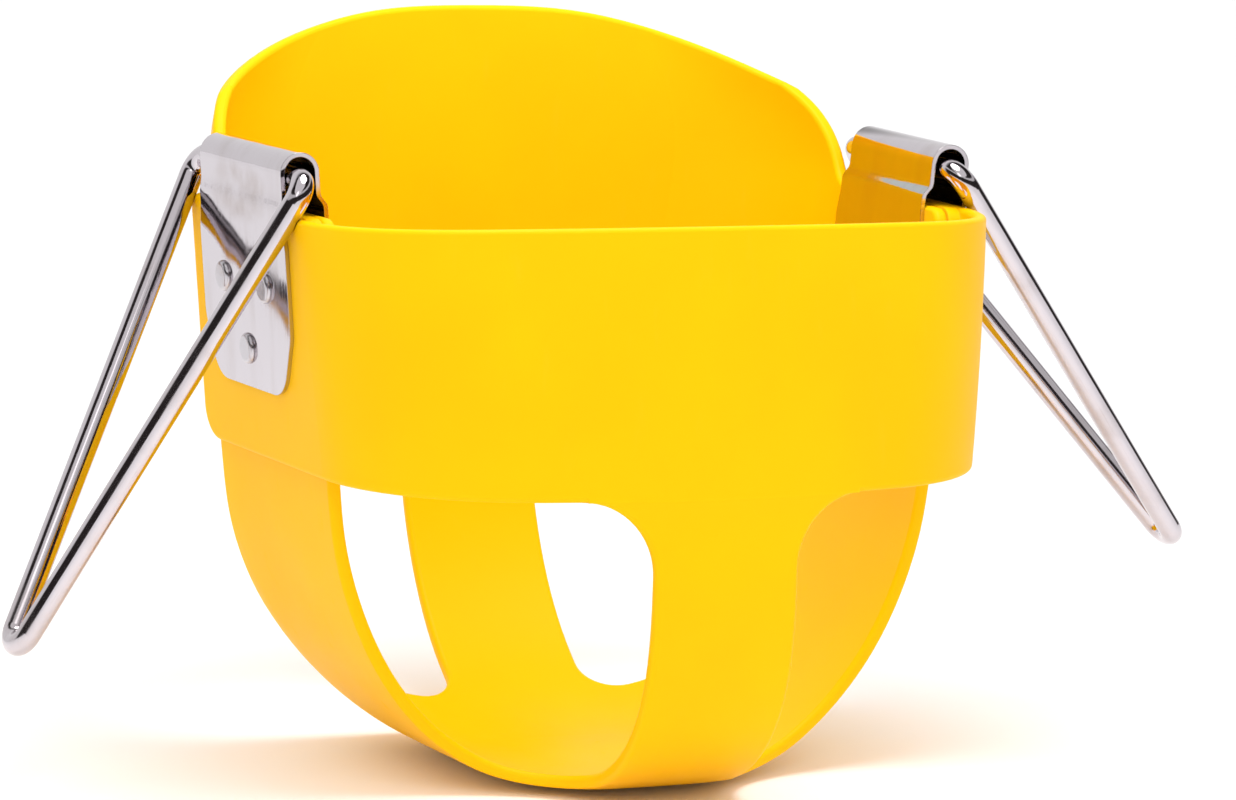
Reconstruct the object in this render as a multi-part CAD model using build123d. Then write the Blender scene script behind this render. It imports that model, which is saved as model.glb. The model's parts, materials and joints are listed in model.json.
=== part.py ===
from build123d import *
from math import cos, radians, sin, sqrt, tan
import os

# Toddler bucket swing: a moulded seat with a high back, two riveted loop brackets that clamp its
# straps, and two wire triangles that swing in the brackets' loops.
#
# Millimetres, +Z up. The front of the seat faces -Y. The origin lies on the flat underside of the
# pan, midway between the brackets. The pieces of the left side mirror those of the right, which
# are made in the right-hand loop's own frame: x' outward, y' to the rear along the loop, z' up.

# ---------------------------------------------------------------- driving dimensions
WALL = 5.6             # moulded wall of the seat
PLY_GAP = 0.15         # air between the three plies clamped in a bracket

# hanger axis
AXIS_X = 148.0         # half the distance between the two loops' centres
AXIS_Z = 255.0         # their height above the pan's underside
TOE = 3.0              # degrees: the brackets stand wider apart at the rear
LEAN = 5.0             # degrees: the clamped plies lean out towards the top
STACK_OUT = 7.6        # outer face of the clamped plies, outward from the loop's centre

# band round the front, and the front strap below it
BAND_BOTTOM = 134.0    # lower edge of the band and of the back panel
PLY_TOP = 237.5        # top of the plies in the brackets
BAND_TAIL = 60.0       # the band's ends run this far behind the bracket's middle
BAND_CORNER = 80.0     # plan radius of its two corners
BAND_RISE_START = 60.0     # in front of this its rim rises
BAND_RISE_RADIUS = 724.0   # on an arc of this radius
FRONT_ARC = 355.0      # plan radius of the front
FRONT_REACH = 149.4    # foremost point of the seat, on the front strap
FRONT_CREST = 100.0    # height of that point
FRONT_BOW = 742.0      # the front leans back above it, on an arc of this radius
FRONT_FOOT = 36.6      # front end of the pan's flat
FRONT_POWER = 2.56     # how square the front strap's curve is

# back panel, and the back strap below it
BACK_ARC = 305.0
BACK_REACH = 142.5
BACK_CREST = 135.0
BACK_FOOT = 14.0
BACK_POWER = 1.97
PANEL_CORNER = 75.0    # plan radius of the panel's two corners
PANEL_CURL = 110.0     # above the plies its sides curl upright and in again, on this radius
PANEL_END = 325.0      # its untrimmed height
DOME = ((0.0, 309.5), (50.0, 307.0), (81.0, 300.0), (111.0, 289.0), (150.0, 266.0))  # x, z of the top edge
SHOULDER = ((44.0, 237.5), (59.0, 249.0), (75.0, 268.0), (92.0, 280.0), (116.0, 297.0), (150.0, 334.0))  # y, z

# side straps
SIDE_FOOT = 29.7       # half the width of the pan's flat
SIDE_CREST = 150.0
SIDE_POWER = 2.11
SIDE_FORE = 57.0       # front edge of a side strap, and front end of every clamped ply
SIDE_AFT = 60.0        # rear edge of a side strap
PAN_ROUNDING = 0.7     # the pan's plan corners, as a share of half its width
ROUNDING_LOST = 0.38   # share of that which is gone where the straps meet the band

# windows between the straps
LEG_HALF = 31.0        # half the width of the front and back straps
FORE_WEB = (75.0, 42.0)    # half axes of the rounded web between a side strap and the front strap
AFT_WEB = (20.0, 16.0)     # and between a side strap and the back strap
TEE_FILLET = 30.0      # inner corner between a strap and the band or panel above it
PLY_CORNER_LOW = 14.0  # lower corners of the band's and the panel's free ends
PLY_CORNER_TOP = 8.0   # upper corners of every clamped ply
RIM_ROUNDING = 2.0     # radius on both edges of every rim

# brackets: a bent strip, an arched loop over two leaves
SHEET = 1.8
LOOP_RADIUS = 8.4      # outside of the loop
LOOP_HALF = 43.5       # half its length
FLARE = (-8.4, -15.4)  # z' where the loop's sides start and stop spreading to the leaves
LEAF_HALF = 45.5       # half the leaves' width
LEAF_SPREAD = (-20.0, -30.0)   # z' where the strip widens from the loop to the leaves
LEAF_SIDE = -66.0      # z' where their sides start to taper
LEAF_END = -91.5       # z' of their lower edge
LEAF_FOOT = 35.0       # half the lower edge's width
LEAF_CORNER = 15.0

# rivets
RIVET_SHANK = 6.0
RIVET_HOLE = 6.2
RIVET_HEAD = 12.8
RIVET_RISE = 2.0       # height of a head
RIVET_DOME = 1.7       # rounding of its rim
RIVET_PLACES = {"upper_front": (-22.0, -48.0), "upper_rear": (22.0, -48.0), "lower": (0.0, -75.5)}  # y', z'

# wire triangles
WIRE = 10.0
BAR_HALF = 58.8        # half the bar, to the corner of the unbent triangle
TRIANGLE_HEIGHT = 241.8    # from the bar to the corner opposite, unbent
ELBOW = 8.0            # bend radius of the wire's centre line
BAR_DROP = 2.0         # the bar lies this far below the loop's centre
SEAT_DENT = 0.3        # air round a leg where it rests in the rim of the band
# each side: the bar's play outward and to the rear in its loop, and the rest angle out from plumb
HANGING = {"left": (1.3, 3.4, 27.4), "right": (-0.6, 5.0, 38.7)}

# ---------------------------------------------------------------- derived
STACK_IN = STACK_OUT - 3 * WALL - 2 * PLY_GAP
MIDDLE_PLY = STACK_OUT - WALL - PLY_GAP      # outer face of the side strap in the stack
INNER_PLY = MIDDLE_PLY - WALL - PLY_GAP      # outer face of the panel's front end in the stack
RIGHT_LOOP = Pos(AXIS_X, 0, AXIS_Z) * Rot(0, 0, -TOE) * Rot(0, LEAN, 0)
FAR = 400.0            # reach of the cutting bodies
SMALL = 0.1
SEAM_ANGLE = 35.0      # faces that meet at less than this run on into each other
SPARE_END = 170.0      # far end of the band's and the panel's closed plans, which is cut away
SPARE_CORNER = 20.0


# ---------------------------------------------------------------- the seat's form
def stack_x(offset, z):
    """x, at y = 0 and height z, of the plane that lies offset outward in the clamped stack."""
    outward = (offset + (z - AXIS_Z) * sin(radians(LEAN))) / cos(radians(LEAN))
    return AXIS_X + outward / cos(radians(TOE))


def bow(z, foot, reach, crest, power, inset):
    """Distance of the wall from the middle at height z: a squarish quarter round, foot to crest."""
    if z >= crest:
        return reach - inset
    rise = (crest - z) / (crest - inset)
    return foot + (reach - inset - foot) * (1 - rise ** power) ** (1 / power)


def front_y(z, inset=0.0):
    lean = max(0.0, z - FRONT_CREST) ** 2 / (2 * FRONT_BOW)
    return bow(z, FRONT_FOOT, FRONT_REACH, FRONT_CREST, FRONT_POWER, inset) - lean


def back_y(z, inset=0.0):
    return bow(z, BACK_FOOT, BACK_REACH, BACK_CREST, BACK_POWER, inset)


def side_x(z, inset=0.0):
    """The side straps run up into the middle plane of the stack."""
    share = bow(BAND_BOTTOM, 0.0, 1.0, SIDE_CREST, SIDE_POWER, 0.0)
    reach = SIDE_FOOT + (stack_x(MIDDLE_PLY, BAND_BOTTOM) - SIDE_FOOT) / share
    return bow(z, SIDE_FOOT, reach, SIDE_CREST, SIDE_POWER, inset)


def side_crossing(half, centre_y, radius, way):
    """y where the line x = half + y tan(TOE) leaves a circle round (0, centre_y), way -1 or 1."""
    slope = tan(radians(TOE))
    a = 1 + slope ** 2
    b = half * slope - centre_y
    c = half ** 2 + centre_y ** 2 - radius ** 2
    return (-b + way * sqrt(b * b - a * c)) / a


def plan_corner(half, centre_y, radius, corner, way):
    """Start, middle and end of the right-hand corner arc between a cross arc and the toed side."""
    half -= corner / cos(radians(TOE))
    y = side_crossing(half, centre_y, radius - corner, way)
    centre = Vector(half + y * tan(radians(TOE)), y)
    to_arc = (centre - Vector(0, centre_y)).normalized()
    to_side = Vector(cos(radians(TOE)), -sin(radians(TOE)))
    return [centre + direction.normalized() * corner for direction in (to_arc, to_arc + to_side, to_side)]


def seat_plan(z, half, front, back, front_corner, back_corner, inset=0.0):
    """Plan of the seat at height z: toed sides, arched front and back, rounded corners."""
    fore = plan_corner(half, FRONT_ARC - inset - front, FRONT_ARC - inset, front_corner - inset, -1)
    aft = plan_corner(half, back - BACK_ARC + inset, BACK_ARC - inset, back_corner - inset, 1)
    left_fore = [Vector(-p.X, p.Y) for p in fore]
    left_aft = [Vector(-p.X, p.Y) for p in aft]
    outline = [
        ThreePointArc(left_fore[0], (0, -front), fore[0]),
        ThreePointArc(*fore),
        Line(fore[2], aft[2]),
        ThreePointArc(*aft[::-1]),
        ThreePointArc(aft[0], (0, back), left_aft[0]),
        ThreePointArc(*left_aft),
        Line(left_aft[2], left_fore[2]),
        ThreePointArc(*left_fore[::-1]),
    ]
    return Pos(0, 0, z) * make_face(outline)


def levels(low, high, count, power=1.0):
    return [low + (high - low) * (i / count) ** power for i in range(count + 1)]


def cut_across(outline):
    """Body with this y, z outline, right through the seat from side to side."""
    return extrude(Plane.YZ * make_face(outline), FAR, both=True)


def cut_along(outline):
    """Body with this x, z outline, right through the seat from front to back."""
    return extrude(Plane.XZ * make_face(outline), FAR, both=True)


def rim_edges(shape, high):
    """Edges below the height high where two faces meet at a corner."""
    faces_of = {}
    for face in shape.faces():
        for edge in face.edges():
            faces_of.setdefault(edge, []).append(face)
    rims = []
    for edge, faces in faces_of.items():
        middle = edge @ 0.5
        normals = [face.normal_at(middle) for face in faces]
        corner = len(faces) == 2 and normals[0].get_angle(normals[1]) > SEAM_ANGLE
        if corner and middle.Z < high:
            rims.append(edge)
    return rims


def rounded(shape, high=FAR):
    return fillet(rim_edges(shape, high), RIM_ROUNDING)


def rounded_band(ring):
    """Band or panel with round rims, except where the strap below runs up into it."""
    lap_half = LEG_HALF + TEE_FILLET - RIM_ROUNDING
    lap = Pos(0, 0, BAND_BOTTOM) * Box(2 * lap_half, FAR, 4 * RIM_ROUNDING)
    return rounded(ring) + (ring & lap)


# ---------------------------------------------------------------- pan and straps
def bowl_plan(z, inset):
    corner = PAN_ROUNDING * side_x(z, inset) * (1 - ROUNDING_LOST * z / BAND_BOTTOM)
    return seat_plan(z, side_x(z, inset), front_y(z, inset), back_y(z, inset), corner, corner, inset)


def window(edge, web):
    """Cutter of a right-hand rear window beside a strap edge; the rounded web and tee stay."""
    web_x = LEG_HALF + web[0]
    web_y = edge + web[1]
    plan = [
        EllipticalCenterArc((web_x, web_y), web[0], web[1], 180, arc_size=90),
        Polyline((web_x, edge), (FAR, edge), (FAR, FAR), (LEG_HALF, FAR), (LEG_HALF, web_y)),
    ]
    tee_x = LEG_HALF + TEE_FILLET
    tee_z = BAND_BOTTOM - TEE_FILLET
    tee = [
        CenterArc((tee_x, tee_z), TEE_FILLET, 180, -90),
        Polyline((tee_x, BAND_BOTTOM), (tee_x, AXIS_Z), (FAR, AXIS_Z), (FAR, -WALL), (LEG_HALF, -WALL),
                 (LEG_HALF, tee_z)),
    ]
    return extrude(Pos(0, 0, -WALL) * make_face(plan), AXIS_Z) & cut_along(tee)


def pan_and_straps():
    outer = loft([bowl_plan(z, 0.0) for z in levels(0, BAND_BOTTOM, 9, 2.2)])
    inner = loft([bowl_plan(z, WALL) for z in levels(WALL, BAND_BOTTOM + WALL, 9, 2.2)])
    bowl = outer - inner
    for cutter in (window(SIDE_AFT, AFT_WEB), mirror(window(SIDE_FORE, FORE_WEB), about=Plane.XZ)):
        bowl -= cutter
        bowl -= mirror(cutter, about=Plane.YZ)
    return rounded(bowl, BAND_BOTTOM - SMALL)


def side_ply():
    """Upper end of the right-hand side strap, the middle one of the three plies."""
    slope = tan(radians(TOE))
    ends = ((BAND_BOTTOM, side_x(BAND_BOTTOM, WALL), side_x(BAND_BOTTOM)),
            (PLY_TOP, stack_x(MIDDLE_PLY - WALL, PLY_TOP), stack_x(MIDDLE_PLY, PLY_TOP)))
    sections = []
    for z, inner, outer in ends:
        corners = [(inner, -AXIS_X), (outer, -AXIS_X), (outer, AXIS_X), (inner, AXIS_X)]
        points = [(x + y * slope, y) for x, y in corners]
        sections.append(Pos(0, 0, z) * make_face(Polyline(*points, close=True)))
    low = BAND_BOTTOM - WALL
    keep = FilletPolyline((-SIDE_FORE, low), (-SIDE_FORE, PLY_TOP), (SIDE_AFT, PLY_TOP), (SIDE_AFT, low),
                          radius=PLY_CORNER_TOP)
    return loft(sections) & cut_across([keep, Line((SIDE_AFT, low), (-SIDE_FORE, low))])


# ---------------------------------------------------------------- band and back panel
def front_band():
    def plan(z, offset, inset):
        front = front_y(z) - inset
        return seat_plan(z, stack_x(offset, z), front, SPARE_END, BAND_CORNER, SPARE_CORNER, inset)

    def shell(offset, inset):
        return loft([plan(z, offset, inset) for z in levels(BAND_BOTTOM, AXIS_Z, 4)])

    crown = PLY_TOP + (FRONT_REACH - BAND_RISE_START) ** 2 / (2 * BAND_RISE_RADIUS)
    low = BAND_BOTTOM - WALL
    heel = BAND_TAIL - PLY_CORNER_LOW
    outline = [
        Polyline((heel, BAND_BOTTOM), (heel, low), (-FRONT_REACH, low), (-FRONT_REACH, crown)),
        TangentArc((-BAND_RISE_START, PLY_TOP), (-FRONT_REACH, crown), tangent=(-1, 0)),
        Line((-BAND_RISE_START, PLY_TOP), (BAND_TAIL - PLY_CORNER_TOP, PLY_TOP)),
        CenterArc((BAND_TAIL - PLY_CORNER_TOP, PLY_TOP - PLY_CORNER_TOP), PLY_CORNER_TOP, 90, -90),
        Line((BAND_TAIL, PLY_TOP - PLY_CORNER_TOP), (BAND_TAIL, BAND_BOTTOM + PLY_CORNER_LOW)),
        CenterArc((heel, BAND_BOTTOM + PLY_CORNER_LOW), PLY_CORNER_LOW, 0, -90),
    ]
    ring = shell(STACK_OUT, 0.0) - shell(STACK_OUT - WALL, WALL)
    return rounded_band(ring & cut_across(outline))


def back_panel():
    def half(offset, z):
        """Leans out with the stack, then curls upright and in again above it."""
        over = max(0.0, z - PLY_TOP)
        return stack_x(offset, z) - over ** 2 / (2 * PANEL_CURL)

    def plan(z, offset, inset):
        rear = back_y(z) - inset
        return seat_plan(z, half(offset, z), SPARE_END, rear, SPARE_CORNER, PANEL_CORNER, inset)

    def shell(offset, inset):
        lower = loft([plan(z, offset, inset) for z in (BAND_BOTTOM, PLY_TOP)], ruled=True)
        upper = loft([plan(z, offset, inset) for z in levels(PLY_TOP, PANEL_END, 5)])
        return lower + upper

    toe = PLY_CORNER_LOW - SIDE_FORE
    low = BAND_BOTTOM - WALL
    sides = [
        Polyline((toe, BAND_BOTTOM), (toe, low), (FAR, low), (FAR, FAR), (SHOULDER[-1][0], FAR), SHOULDER[-1]),
        Spline(*SHOULDER[::-1], tangents=[(-1, -0.6), (-1, 0)]),
        Line(SHOULDER[0], (PLY_CORNER_TOP - SIDE_FORE, PLY_TOP)),
        CenterArc((PLY_CORNER_TOP - SIDE_FORE, PLY_TOP - PLY_CORNER_TOP), PLY_CORNER_TOP, 90, 90),
        Line((-SIDE_FORE, PLY_TOP - PLY_CORNER_TOP), (-SIDE_FORE, BAND_BOTTOM + PLY_CORNER_LOW)),
        CenterArc((toe, BAND_BOTTOM + PLY_CORNER_LOW), PLY_CORNER_LOW, 180, 90),
    ]
    top = [(-x, z) for x, z in DOME[:0:-1]] + list(DOME)
    edge = DOME[-1][0]
    dome = [
        Spline(*top),
        Polyline((edge, DOME[-1][1]), (edge, low), (-edge, low), (-edge, DOME[-1][1])),
    ]
    ring = shell(INNER_PLY, 0.0) - shell(INNER_PLY - WALL, WALL)
    return rounded_band(ring & cut_across(sides) & cut_along(dome))


# ---------------------------------------------------------------- pieces of one side
def placed(shape, side):
    shape = RIGHT_LOOP * shape
    return mirror(shape, about=Plane.YZ) if side == "left" else shape


def rivet_bores():
    bore = Rot(0, 90, 0) * Cylinder(RIVET_HOLE / 2, 6 * WALL)
    bores = [Pos(0, y, z) * bore for y, z in RIVET_PLACES.values()]
    return bores[0] + bores[1] + bores[2]


def strip_edges(inset):
    """Section of the bracket's strip, along its outer face or inset from it."""
    radius = LOOP_RADIUS - inset
    outer = STACK_OUT + SHEET - inset
    inner = STACK_IN - SHEET + inset
    start, stop = FLARE
    low = LEAF_END - SHEET
    return [
        Line((outer, low), (outer, stop)),
        Spline((outer, stop), (radius, start), tangents=[(0, 1), (0, 1)]),
        Line((radius, start), (radius, 0)),
        CenterArc((0, 0), radius, 0, 180),
        Line((-radius, 0), (-radius, start)),
        Spline((-radius, start), (inner, stop), tangents=[(0, -1), (0, -1)]),
        Line((inner, stop), (inner, low)),
    ]


def hanger_bracket():
    low = LEAF_END - SHEET
    ends = [
        Line((STACK_OUT + SHEET, low), (STACK_OUT, low)),
        Line((STACK_IN - SHEET, low), (STACK_IN, low)),
    ]
    strip = extrude(Plane.XZ * make_face(strip_edges(0.0) + strip_edges(SHEET) + ends), FAR, both=True)
    half = [(LOOP_HALF, AXIS_Z), (LOOP_HALF, LEAF_SPREAD[0]), (LEAF_HALF, LEAF_SPREAD[1]),
            (LEAF_HALF, LEAF_SIDE), (LEAF_FOOT, LEAF_END)]
    outline = make_face(Polyline(*half, *[(-y, z) for y, z in half[::-1]], close=True))
    corners = [v for v in outline.vertices() if v.Y < LEAF_SIDE + 0.1]
    outline = fillet(corners, LEAF_CORNER)
    return strip & extrude(Plane.YZ * outline, FAR, both=True) - rivet_bores()


def rivet():
    """Through both leaves and the plies, with a low domed head at each end, along the x' axis."""
    outer = STACK_OUT + SHEET
    inner = STACK_IN - SHEET
    shank = Pos((outer + inner) / 2, 0, 0) * Rot(0, 90, 0) * Cylinder(RIVET_SHANK / 2, outer - inner)
    disc = Cylinder(RIVET_HEAD / 2, RIVET_RISE, align=(Align.CENTER, Align.CENTER, Align.MIN))
    head = fillet(disc.edges().group_by(Axis.Z)[-1], RIVET_DOME)
    return shank + Pos(outer, 0, 0) * Rot(0, 90, 0) * head + Pos(inner, 0, 0) * Rot(0, -90, 0) * head


def triangle_path():
    """Centre line of the wire in its own plane: the bar along x, the far corner below it."""
    return FilletPolyline((-BAR_HALF, 0), (BAR_HALF, 0), (0, -TRIANGLE_HEIGHT), radius=ELBOW, close=True)


def triangle(side, thickness=WIRE):
    out, rear, hang = HANGING[side]
    path = triangle_path()
    ring = sweep(Plane(origin=path @ 0, z_dir=path % 0) * Circle(thickness / 2), path=path)
    ring = Plane.YZ * ring
    return Pos(out, rear, -BAR_DROP) * Rot(0, -hang - LEAN, 0) * ring


# ---------------------------------------------------------------- assembly
def seat_shell():
    shell = pan_and_straps() + front_band() + back_panel()
    ply = side_ply()
    shell = shell + ply + mirror(ply, about=Plane.YZ)
    for side in HANGING:
        shell -= placed(rivet_bores(), side)
        shell -= placed(triangle(side, WIRE + 2 * SEAT_DENT), side)
    return shell


def nodes():
    pieces = {"seat_shell": seat_shell()}
    for side in HANGING:
        pieces[side + "_hanger_bracket"] = placed(hanger_bracket(), side)
        pieces[side + "_triangle"] = placed(triangle(side), side)
        for place, (y, z) in RIVET_PLACES.items():
            pieces[side + "_" + place + "_rivet"] = placed(Pos(0, y, z) * rivet(), side)
    return pieces


if __name__ == "__main__":
    os.makedirs("parts", exist_ok=True)
    for name, piece in nodes().items():
        piece.label = name
        export_step(piece, "parts/" + name + ".step")
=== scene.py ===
"""Toddler bucket swing: finishes and studio for its moulded seat, riveted brackets and wire triangles."""
import json
import math

import bpy
from bpy.props import FloatProperty, FloatVectorProperty, PointerProperty
from mathutils import Matrix, Vector


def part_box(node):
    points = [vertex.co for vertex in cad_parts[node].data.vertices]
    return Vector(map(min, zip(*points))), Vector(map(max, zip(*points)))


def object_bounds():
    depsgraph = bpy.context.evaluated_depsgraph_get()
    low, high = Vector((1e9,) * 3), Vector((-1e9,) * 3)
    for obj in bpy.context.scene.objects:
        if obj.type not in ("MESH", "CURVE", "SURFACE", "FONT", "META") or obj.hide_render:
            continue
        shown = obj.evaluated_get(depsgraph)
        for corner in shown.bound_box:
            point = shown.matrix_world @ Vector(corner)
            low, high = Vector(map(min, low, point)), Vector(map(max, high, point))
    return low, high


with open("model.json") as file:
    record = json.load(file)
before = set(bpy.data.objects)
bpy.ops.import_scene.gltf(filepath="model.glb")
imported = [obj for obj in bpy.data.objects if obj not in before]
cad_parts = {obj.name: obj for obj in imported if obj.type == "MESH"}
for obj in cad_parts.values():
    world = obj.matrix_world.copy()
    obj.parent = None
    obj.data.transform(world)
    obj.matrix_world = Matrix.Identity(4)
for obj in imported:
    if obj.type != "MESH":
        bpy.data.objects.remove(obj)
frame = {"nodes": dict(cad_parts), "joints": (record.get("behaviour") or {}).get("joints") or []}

bl_info = {
    "name": "Toddler bucket swing",
    "version": (1, 0, 0),
    "blender": (4, 5, 0),
    "location": "3D View > Sidebar > Swing",
    "description": "Dresses the moulded seat, the plated brackets, the rivets and the wire triangles",
    "category": "Object",
}

CAD_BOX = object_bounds()
SIDES = {"left": -1.0, "right": 1.0}    # and which way along X is outward there
MM = 0.001

# grain: what a place is multiplied by before a pattern is laid there, so a small number draws it out
UPRIGHT_SCUFFS = (1.0, 1.0, 0.12)
UPRIGHT_HAZE = (1.0, 1.0, 0.25)
ROLLED_HAIRLINES = (0.06, 1.0, 0.06)
DRAWN_LENGTH = 0.02     # the same along the wire, for its draw lines

# dulled patch on a bracket's outer face
PATCH_DROP = 20 * MM    # its middle, below the top of the loop
PATCH_HALF_WIDTH = 30 * MM
PATCH_HALF_HEIGHT = 12 * MM

# studio, in metres
FLOOR_REACH = 15.0
LAMP_AIM = (0.0, 0.0, 0.17)     # near the middle of the bucket
OVERHEAD_PLACE = (-0.4, -0.9, 2.4)
OVERHEAD_SPREAD = math.radians(70)
DISK_LAMPS = (("key", 0.9, (-1.3, -1.9, 1.7)), ("inner", 0.4, (0.0, -0.1, 0.8)))   # diameter, place
SENSOR_WIDTH = 36.0     # millimetres

# the room that bright metal mirrors, by the Y and Z of a direction of length 1 away from the swing
FRONT_END = (0.3, 0.55)         # Y over which the dark front gives way to white
HORIZON = (0.0, 0.03)           # Z over which the dark starts
STRIP_FOOT = (0.4, 0.43)        # Z over which a bright strip in it starts
STRIP_TOP = (0.54, 0.57)        # and ends
STRIP_SHARE = 0.75              # how much of the dark the strip takes away
WHITE = (1.0, 1.0, 1.0)
DARK_FRONT = (0.03, 0.025, 0.025)


# ---------------------------------------------------------------- shader building
class Signal:
    """A number that varies over a surface. Expressions on signals add Math nodes."""

    def __init__(self, finish, socket):
        self.finish = finish
        self.socket = socket

    def joined(self, operation, first, second):
        node = self.finish.node("ShaderNodeMath", {"operation": operation}, {0: first, 1: second})
        return Signal(self.finish, node.outputs[0])

    def __add__(self, other):
        return self.joined("ADD", self, other)

    __radd__ = __add__

    def __sub__(self, other):
        return self.joined("SUBTRACT", self, other)

    def __rsub__(self, other):
        return self.joined("SUBTRACT", other, self)

    def __mul__(self, other):
        return self.joined("MULTIPLY", self, other)

    __rmul__ = __mul__

    def size(self):
        """Its distance from 0."""
        return self.joined("ABSOLUTE", self, 0.0)

    def smooth(self, low, high):
        """0 below low, 1 above high, with soft ends."""
        settings = {"interpolation_type": "SMOOTHSTEP"}
        node = self.finish.node("ShaderNodeMapRange", settings, {0: self, 1: low, 2: high})
        return Signal(self.finish, node.outputs[0])


class Finish:
    """A node material or world under construction, in metres of the model's frame."""

    def __init__(self, tree):
        self.tree = tree
        tree.nodes.clear()

    def node(self, kind, settings, inputs):
        made = self.tree.nodes.new(kind)
        for key, value in settings.items():
            setattr(made, key, value)
        for key, value in inputs.items():
            self.feed(made.inputs[key], value)
        return made

    def feed(self, socket, value):
        """Links an input or sets its constant. Colours come without their alpha."""
        if isinstance(value, Signal):
            value = value.socket
        if isinstance(value, bpy.types.NodeSocket):
            self.tree.links.new(value, socket)
        elif socket.type == "RGBA":
            socket.default_value = (*value, 1.0)
        else:
            socket.default_value = value

    def place(self, stretch=(1.0, 1.0, 1.0)):
        """The point on the piece at rest, stretched for grain that runs one way."""
        point = self.node("ShaderNodeTexCoord", {}, {}).outputs["Object"]
        scaled = self.node("ShaderNodeVectorMath", {"operation": "MULTIPLY"}, {0: point, 1: stretch})
        return scaled.outputs[0]

    def axes(self):
        split = self.node("ShaderNodeSeparateXYZ", {}, {0: self.place()})
        return [Signal(self, output) for output in split.outputs]

    def own_normal(self):
        return self.node("ShaderNodeNewGeometry", {}, {}).outputs["Normal"]

    def facing_x(self):
        """How far the surface faces along X, from -1 to 1."""
        split = self.node("ShaderNodeSeparateXYZ", {}, {0: self.own_normal()})
        return Signal(self, split.outputs[0])

    def along(self, direction, origin):
        """Distance along a direction from a point."""
        settings = {"operation": "DOT_PRODUCT"}
        dot = self.node("ShaderNodeVectorMath", settings, {0: self.place(), 1: tuple(direction)})
        return Signal(self, dot.outputs["Value"]) - direction.dot(origin)

    def noise(self, size, detail=2.0, stretch=(1.0, 1.0, 1.0)):
        inputs = {"Vector": self.place(stretch), "Scale": 1.0 / size, "Detail": detail}
        return Signal(self, self.node("ShaderNodeTexNoise", {}, inputs).outputs[0])

    def noise_at(self, parts, size, detail):
        """Noise over three signals taken as a place."""
        place = self.node("ShaderNodeCombineXYZ", {}, dict(enumerate(parts))).outputs[0]
        inputs = {"Vector": place, "Scale": 1.0 / size, "Detail": detail}
        return Signal(self, self.node("ShaderNodeTexNoise", {}, inputs).outputs[0])

    def blend(self, share, first, second):
        """Colour between first and second."""
        made = self.node("ShaderNodeMix", {"data_type": "RGBA"}, {})
        for name, kind, value in (("Factor", "VALUE", share), ("A", "RGBA", first), ("B", "RGBA", second)):
            socket = next(s for s in made.inputs if s.name == name and s.type == kind)
            self.feed(socket, value)
        return next(s for s in made.outputs if s.type == "RGBA")

    def eased_normal(self, radius):
        """The surface's normal with its sharp edges eased over a radius."""
        return self.node("ShaderNodeBevel", {"samples": 4}, {"Radius": radius}).outputs[0]

    def edge_share(self, radius):
        """1 along rims and corners, 0 on open surface."""
        settings = {"operation": "DOT_PRODUCT"}
        normals = {0: self.own_normal(), 1: self.eased_normal(radius)}
        dot = self.node("ShaderNodeVectorMath", settings, normals)
        return 1 - Signal(self, dot.outputs["Value"])

    def bump(self, height, distance, strength, under=None):
        inputs = {"Height": height, "Distance": distance, "Strength": strength}
        if under is not None:
            inputs["Normal"] = under
        return self.node("ShaderNodeBump", {}, inputs).outputs[0]

    def surface(self, **inputs):
        named = {key.replace("_", " "): value for key, value in inputs.items()}
        shader = self.node("ShaderNodeBsdfPrincipled", {}, named)
        self.node("ShaderNodeOutputMaterial", {}, {"Surface": shader.outputs[0]})


def new_finish(name):
    material = bpy.data.materials.new(name)
    material.use_nodes = True
    return material, Finish(material.node_tree)


# ---------------------------------------------------------------- finishes
def plastic_finish(look):
    """Satin moulded polyethylene: even yellow, paler where it is rubbed, with a fine grain."""
    material, f = new_finish("moulded_plastic")
    clouds = f.noise(90 * MM, detail=3.0).smooth(0.35, 0.65)
    rims = f.edge_share(2.4 * MM).smooth(0.02, 0.25)
    rubbed = rims * f.noise(20 * MM, detail=4.0).smooth(0.35, 0.7)
    scuffs = f.noise(6 * MM, detail=5.0, stretch=UPRIGHT_SCUFFS).smooth(0.62, 0.8)
    colour = f.blend(0.5 * clouds, look.deep, look.colour)
    colour = f.blend(0.25 * rubbed, colour, look.pale)
    colour = f.blend(0.05 * scuffs, colour, look.pale)
    roughness = 0.38 + 0.1 * f.noise(30 * MM, detail=4.0) + 0.12 * scuffs
    sink = f.bump(f.noise(45 * MM, detail=1.0), distance=0.5 * MM, strength=0.6)
    grain = f.bump(f.noise(0.7 * MM, detail=1.0), distance=0.02 * MM, strength=0.5, under=sink)
    f.surface(Base_Color=colour, Roughness=roughness, Specular_IOR_Level=0.07, Normal=grain)
    return material


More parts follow.
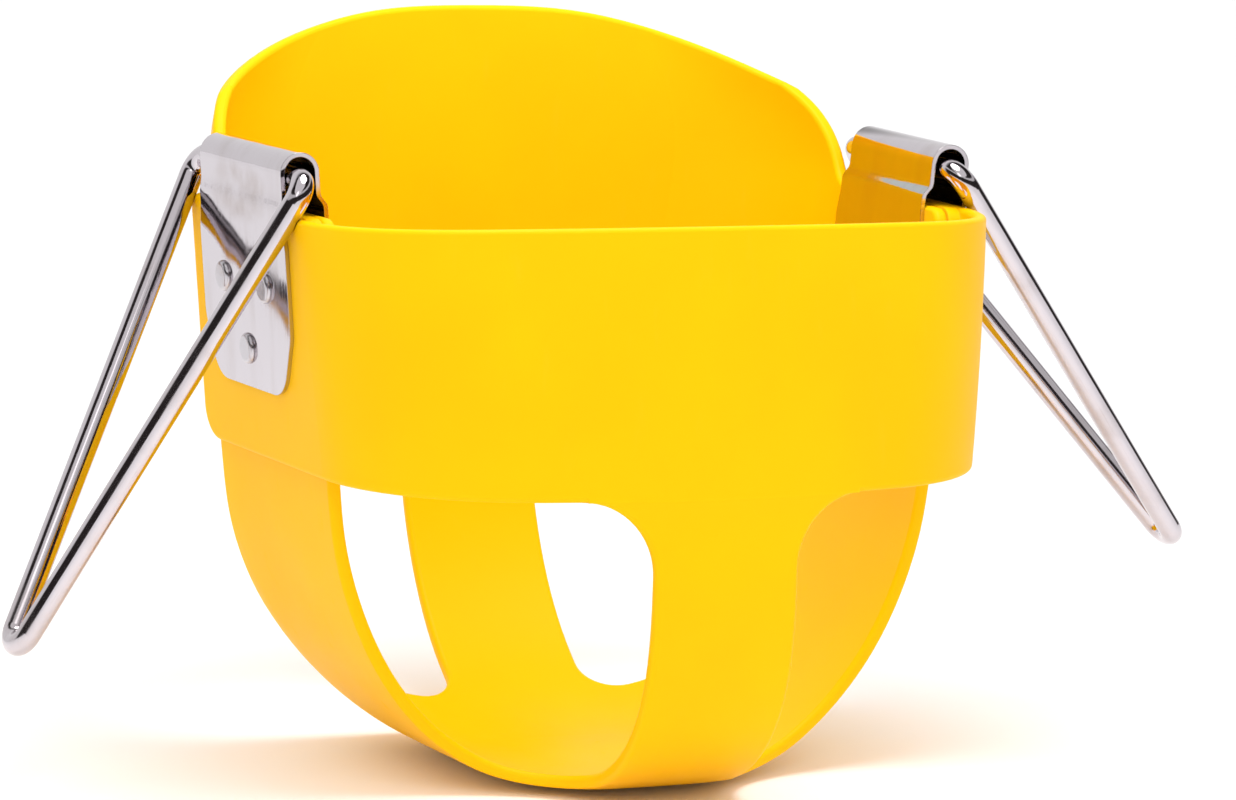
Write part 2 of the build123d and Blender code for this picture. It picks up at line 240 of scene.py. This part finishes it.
def bracket_finish(look, side):
    """Bright plated sheet, a little wavy: a dulled patch on its outer face, painted shade on the leaf that
    faces the bucket, and near-black painted shade within the loop and on its hidden faces.
    """
    material, f = new_finish(side + "_bracket_plate")
    lo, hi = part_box(side + "_hanger_bracket")
    x, y, z = f.axes()
    below_top = hi.z - z
    outward = f.facing_x() * SIDES[side]
    outer_face = outward.smooth(0.2, 0.6)
    # painted shade: the leaf that faces the bucket, below the top of the loop, is painted darker
    painted_shade_leaf = (0.0 - outward).smooth(0.2, 0.6) * below_top.smooth(4 * MM, 9 * MM)
    # painted shade: faces that look toward the middle of the bracket, hidden within the loop and against
    # the seat, are painted near black
    hidden_side_painted_shade = ((0.5 * (lo.x + hi.x) - x) * f.facing_x()).smooth(0.0, 2 * MM)

    across = y * (1 / PATCH_HALF_WIDTH)
    up = (below_top - PATCH_DROP) * (1 / PATCH_HALF_HEIGHT)
    patch = 1 - (across * across + up * up).smooth(0.3, 1.4)
    smudge = f.noise(11 * MM, detail=4.0).smooth(0.25, 0.75) * patch * outer_face
    wear = f.edge_share(0.8 * MM).smooth(0.05, 0.3)
    hairlines = f.noise(1.0 * MM, detail=4.0, stretch=ROLLED_HAIRLINES).smooth(0.5, 0.8)
    haze = f.noise(14 * MM, detail=3.0, stretch=UPRIGHT_HAZE).smooth(0.45, 0.75)

    # painted shade on the leaf that faces the bucket
    colour = f.blend(painted_shade_leaf, look.plate, look.shaded)
    colour = f.blend(0.6 * smudge, colour, look.handled)
    colour = f.blend(0.6 * wear, colour, look.worn)
    # painted shade on the hidden faces
    colour = f.blend(hidden_side_painted_shade, colour, look.inside)
    colour = f.blend(0.25 * haze, colour, look.handled)
    roughness = look.roughness + 0.12 * smudge + 0.04 * hairlines + 0.07 * haze + 0.15 * wear
    waves = f.bump(f.noise(35 * MM, detail=1.0), distance=1.2 * MM, strength=0.5,
                   under=f.eased_normal(0.4 * MM))
    ripples = f.bump(f.noise(12 * MM, detail=1.0) * painted_shade_leaf, distance=0.2 * MM, strength=0.5,
                     under=waves)
    scratches = f.bump(hairlines, distance=0.01 * MM, strength=0.4, under=ripples)
    f.surface(Base_Color=colour, Metallic=1.0, Roughness=roughness, Normal=scratches)
    return material


def wire_finish(look, side):
    """Plated drawn wire: draw lines that run along both legs, and a little tarnish."""
    material, f = new_finish(side + "_drawn_wire")
    joint = next(j for j in frame["joints"] if j["name"] == side + "_triangle_swing")
    pin, bar = Vector(joint["pos_m"]), Vector(joint["axis"])
    lo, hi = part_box(side + "_triangle")
    tip = Vector((lo.x if side == "left" else hi.x, pin.y, lo.z))
    down = (tip - pin).normalized()
    slant = math.atan2(0.5 * (hi.y - lo.y), (tip - pin).length)
    from_middle, from_pin = f.along(bar, pin).size(), f.along(down, pin)
    through = from_middle * math.cos(slant) + from_pin * math.sin(slant)
    lengthwise = (from_pin * (DRAWN_LENGTH * math.cos(slant))
                  - from_middle * (DRAWN_LENGTH * math.sin(slant)))
    drawn = f.noise_at((through, f.along(bar.cross(down), pin), lengthwise), 0.7 * MM, detail=2.0)
    tarnish = f.noise(20 * MM, detail=5.0).smooth(0.45, 0.75)
    dulled = 0.3 * tarnish + 0.2 * drawn.smooth(0.55, 0.8)
    colour = f.blend(dulled, look.plate, look.handled)
    roughness = look.roughness + 0.08 * tarnish + 0.06 * drawn
    lines = f.bump(drawn, distance=0.04 * MM, strength=0.4)
    f.surface(Base_Color=colour, Metallic=1.0, Roughness=roughness, Normal=lines)
    return material


def rivet_finish(look):
    """Cold-headed steel: duller than the sheet, with a dark edge of painted shade where the head meets it.
    """
    material, f = new_finish("rivet_steel")
    # painted shade: a dark band along the head's rim
    ring = f.edge_share(1.2 * MM).smooth(0.04, 0.3)
    colour = f.blend(ring, look.plate, look.ring)
    dents = f.noise(2.5 * MM, detail=3.0)
    roughness = look.roughness + 0.1 * dents
    dented = f.bump(dents, distance=0.12 * MM, strength=0.5, under=f.eased_normal(0.3 * MM))
    f.surface(Base_Color=colour, Metallic=1.0, Roughness=roughness, Normal=dented)
    return material


def dress(node, material):
    """Gives a CAD node its finish in every material slot."""
    for slot in frame["nodes"][node].material_slots:
        slot.material = material


# ---------------------------------------------------------------- settings
def colour_setting(name, description, default):
    return FloatVectorProperty(name=name, description=description, default=default, subtype="COLOR",
                               min=0.0, max=1.0)


def roughness_setting(description, default):
    return FloatProperty(name="Roughness", description=description, subtype="FACTOR", default=default,
                         min=0.0, max=1.0)


class SwingPlastic(bpy.types.PropertyGroup):
    """Colours of the moulded seat."""
    colour: colour_setting("Colour", "Colour of the moulded seat", (1.0, 0.57, 0.0))
    deep: colour_setting("Deep", "Colour of its denser clouds", (1.0, 0.52, 0.0))
    pale: colour_setting("Pale", "Colour where it is rubbed", (1.0, 0.64, 0.06))


class SwingSheet(bpy.types.PropertyGroup):
    """Colours and gloss of the brackets' plated sheet."""
    plate: colour_setting("Plate", "Colour of the clean plating", (0.63, 0.585, 0.62))
    handled: colour_setting("Handled", "Colour of its dulled patches", (0.42, 0.35, 0.33))
    worn: colour_setting("Worn", "Colour along its edges", (0.42, 0.40, 0.40))
    # painted shade: colour of the leaf that faces the bucket
    shaded: colour_setting("Shaded", "Colour of the leaf that faces the bucket", (0.49, 0.51, 0.50))
    # painted shade: colour of the hidden faces, near black
    inside: colour_setting("Inside", "Colour of its hidden side", (0.05, 0.04, 0.04))
    roughness: roughness_setting("Roughness of the clean plating", 0.06)


class SwingWire(bpy.types.PropertyGroup):
    """Colours and gloss of the triangles' plated wire."""
    plate: colour_setting("Plate", "Colour of the clean plating", (0.63, 0.585, 0.62))
    handled: colour_setting("Handled", "Colour of its tarnish and draw lines", (0.42, 0.35, 0.33))
    roughness: roughness_setting("Roughness of the clean plating", 0.05)


class SwingRivet(bpy.types.PropertyGroup):
    """Colours and gloss of the rivets' steel."""
    plate: colour_setting("Plate", "Colour of the clean steel", (0.56, 0.53, 0.56))
    # painted shade along the head's rim
    ring: colour_setting("Ring", "Colour where the head meets the sheet", (0.08, 0.07, 0.07))
    roughness: roughness_setting("Roughness of the clean steel", 0.18)


class SwingStudio(bpy.types.PropertyGroup):
    """Camera and light."""
    azimuth: FloatProperty(name="Azimuth", description="Camera's turn to the seat's right",
                           unit="ROTATION", default=math.radians(-23.5))
    elevation: FloatProperty(name="Elevation", description="Camera's height as an angle",
                             unit="ROTATION", default=math.radians(8.11))
    roll: FloatProperty(name="Roll", description="Camera's roll",
                        unit="ROTATION", default=math.radians(1.62))
    distance: FloatProperty(name="Distance", description="From the camera to its target",
                            unit="LENGTH", default=2.1426)
    target: FloatVectorProperty(name="Target", description="What the camera looks at",
                                subtype="XYZ", unit="LENGTH", default=(0.0146, 0.0, 0.1524))
    lens: FloatProperty(name="Lens", description="Focal length", unit="CAMERA", default=147.6)
    overhead: FloatProperty(name="Overhead", description="Strength of the broad light overhead",
                            default=0.8)
    key: FloatProperty(name="Key light", description="Power of the main light",
                       unit="POWER", default=2.0)
    inner: FloatProperty(name="Inner light", description="Power of the lamp over the bucket",
                         unit="POWER", default=2.8)
    air: FloatProperty(name="Air", description="Brightness of the white all round", default=0.87)
    floor: colour_setting("Floor", "Colour of the floor", (0.97, 0.97, 0.97))


# ---------------------------------------------------------------- operators
class SWING_OT_seat(bpy.types.Operator):
    """Give the moulded seat its satin plastic"""
    bl_idname = "swing.seat"
    bl_label = "Moulded seat"

    def execute(self, context):
        dress("seat_shell", plastic_finish(context.scene.swing_plastic))
        return {"FINISHED"}


class SWING_OT_brackets(bpy.types.Operator):
    """Give the two hanger brackets their bright plating"""
    bl_idname = "swing.brackets"
    bl_label = "Hanger brackets"

    def execute(self, context):
        for side in SIDES:
            dress(side + "_hanger_bracket", bracket_finish(context.scene.swing_sheet, side))
        return {"FINISHED"}


class SWING_OT_rivets(bpy.types.Operator):
    """Give the six rivets their headed steel"""
    bl_idname = "swing.rivets"
    bl_label = "Rivets"

    def execute(self, context):
        steel = rivet_finish(context.scene.swing_rivet)
        for node in frame["nodes"]:
            if node.endswith("_rivet"):
                dress(node, steel)
        return {"FINISHED"}


class SWING_OT_triangles(bpy.types.Operator):
    """Give the two wire triangles their plated wire"""
    bl_idname = "swing.triangles"
    bl_label = "Wire triangles"

    def execute(self, context):
        for side in SIDES:
            dress(side + "_triangle", wire_finish(context.scene.swing_wire, side))
        return {"FINISHED"}


class SWING_OT_studio(bpy.types.Operator):
    """Lay the floor, hang the lights and set the camera"""
    bl_idname = "swing.studio"
    bl_label = "Studio"

    def execute(self, context):
        studio = context.scene.swing_studio
        lay_floor(studio)
        hang_lights(studio)
        light_world(context.scene)
        set_camera(context.scene, studio)
        context.scene.view_settings.view_transform = "Standard"
        return {"FINISHED"}


# ---------------------------------------------------------------- studio
def lay_floor(studio):
    """One wide pale sheet at the height that the seat stands on."""
    mesh = bpy.data.meshes.new("floor")
    height = CAD_BOX[0].z
    ways = ((-1, -1), (1, -1), (1, 1), (-1, 1))
    corners = [(x * FLOOR_REACH, y * FLOOR_REACH, height) for x, y in ways]
    mesh.from_pydata(corners, [], [range(len(corners))])
    floor = bpy.data.objects.new("floor", mesh)
    bpy.context.collection.objects.link(floor)
    material, f = new_finish("studio_floor")
    f.surface(Base_Color=studio.floor, Roughness=0.9)
    mesh.materials.append(material)


def facing(position, target):
    """Placement of a lamp or camera that looks at the target with its top upward."""
    ahead = (target - position).normalized()
    across = ahead.cross(Vector((0, 0, 1))).normalized()
    upward = across.cross(ahead)
    turn = Matrix((across, upward, -ahead)).transposed()
    return Matrix.Translation(position) @ turn.to_4x4()


def hang_light(lamp, place, power):
    lamp.energy = power
    holder = bpy.data.objects.new(lamp.name, lamp)
    holder.matrix_world = facing(Vector(place), Vector(LAMP_AIM))
    bpy.context.collection.objects.link(holder)


def hang_lights(studio):
    """A broad soft light overhead, a small key at the front left, and a lamp over the bucket."""
    overhead = bpy.data.lights.new("overhead", "SUN")
    overhead.angle = OVERHEAD_SPREAD
    hang_light(overhead, OVERHEAD_PLACE, studio.overhead)
    for name, diameter, place in DISK_LAMPS:
        lamp = bpy.data.lights.new(name, "AREA")
        lamp.shape = "DISK"
        lamp.size = diameter
        hang_light(lamp, place, getattr(studio, name))


def light_world(scene):
    """White all round, but mirrors see a dark front with one bright strip, which streaks bright wire."""
    world = bpy.data.worlds.new("studio_air")
    world.use_nodes = True
    f = Finish(world.node_tree)
    way = f.node("ShaderNodeTexCoord", {}, {}).outputs["Generated"]
    split = f.node("ShaderNodeSeparateXYZ", {}, {0: way})
    ahead = 1 - Signal(f, split.outputs[1]).smooth(*FRONT_END)
    height = Signal(f, split.outputs[2])
    strip = height.smooth(*STRIP_FOOT) * (1 - height.smooth(*STRIP_TOP))
    mirrored = Signal(f, f.node("ShaderNodeLightPath", {}, {}).outputs["Is Glossy Ray"])
    dark = ahead * height.smooth(*HORIZON) * (1 - STRIP_SHARE * strip) * mirrored
    air = f.blend(dark, WHITE, DARK_FRONT)
    glow = f.node("ShaderNodeBackground", {}, {"Color": air, "Strength": scene.swing_studio.air})
    f.node("ShaderNodeOutputWorld", {}, {"Surface": glow.outputs[0]})
    scene.world = world


def set_camera(scene, studio):
    """A long lens that looks at the target from the azimuth and elevation set."""
    back = Vector((math.sin(studio.azimuth) * math.cos(studio.elevation),
                   -math.cos(studio.azimuth) * math.cos(studio.elevation),
                   math.sin(studio.elevation)))
    target = Vector(studio.target)
    lens = bpy.data.cameras.new("camera")
    lens.sensor_width = SENSOR_WIDTH
    lens.lens = studio.lens
    camera = bpy.data.objects.new("camera", lens)
    level = facing(target + back * studio.distance, target)
    camera.matrix_world = level @ Matrix.Rotation(studio.roll, 4, "Z")
    bpy.context.collection.objects.link(camera)
    scene.camera = camera


# ---------------------------------------------------------------- panel and registration
class SWING_PT_panel(bpy.types.Panel):
    """Lists the swing's pieces and their settings"""
    bl_idname = "SWING_PT_panel"
    bl_label = "Toddler bucket swing"
    bl_space_type = "VIEW_3D"
    bl_region_type = "UI"
    bl_category = "Swing"

    def draw(self, context):
        for operator in OPERATORS:
            self.layout.operator(operator.bl_idname)
        for name in SETTINGS:
            box = self.layout.box()
            group = getattr(context.scene, name)
            for key in group.__annotations__:
                box.prop(group, key)


OPERATORS = (SWING_OT_seat, SWING_OT_brackets, SWING_OT_rivets, SWING_OT_triangles, SWING_OT_studio)
SETTINGS = {
    "swing_plastic": SwingPlastic,
    "swing_sheet": SwingSheet,
    "swing_wire": SwingWire,
    "swing_rivet": SwingRivet,
    "swing_studio": SwingStudio,
}
CLASSES = (*SETTINGS.values(), *OPERATORS, SWING_PT_panel)


def register():
    for made in CLASSES:
        bpy.utils.register_class(made)
    for name, group in SETTINGS.items():
        setattr(bpy.types.Scene, name, PointerProperty(type=group))


def unregister():
    for name in SETTINGS:
        delattr(bpy.types.Scene, name)
    for made in reversed(CLASSES):
        bpy.utils.unregister_class(made)


def main():
    register()
    bpy.ops.swing.seat()
    bpy.ops.swing.brackets()
    bpy.ops.swing.rivets()
    bpy.ops.swing.triangles()
    bpy.ops.swing.studio()


if __name__ == "__main__":
    main()
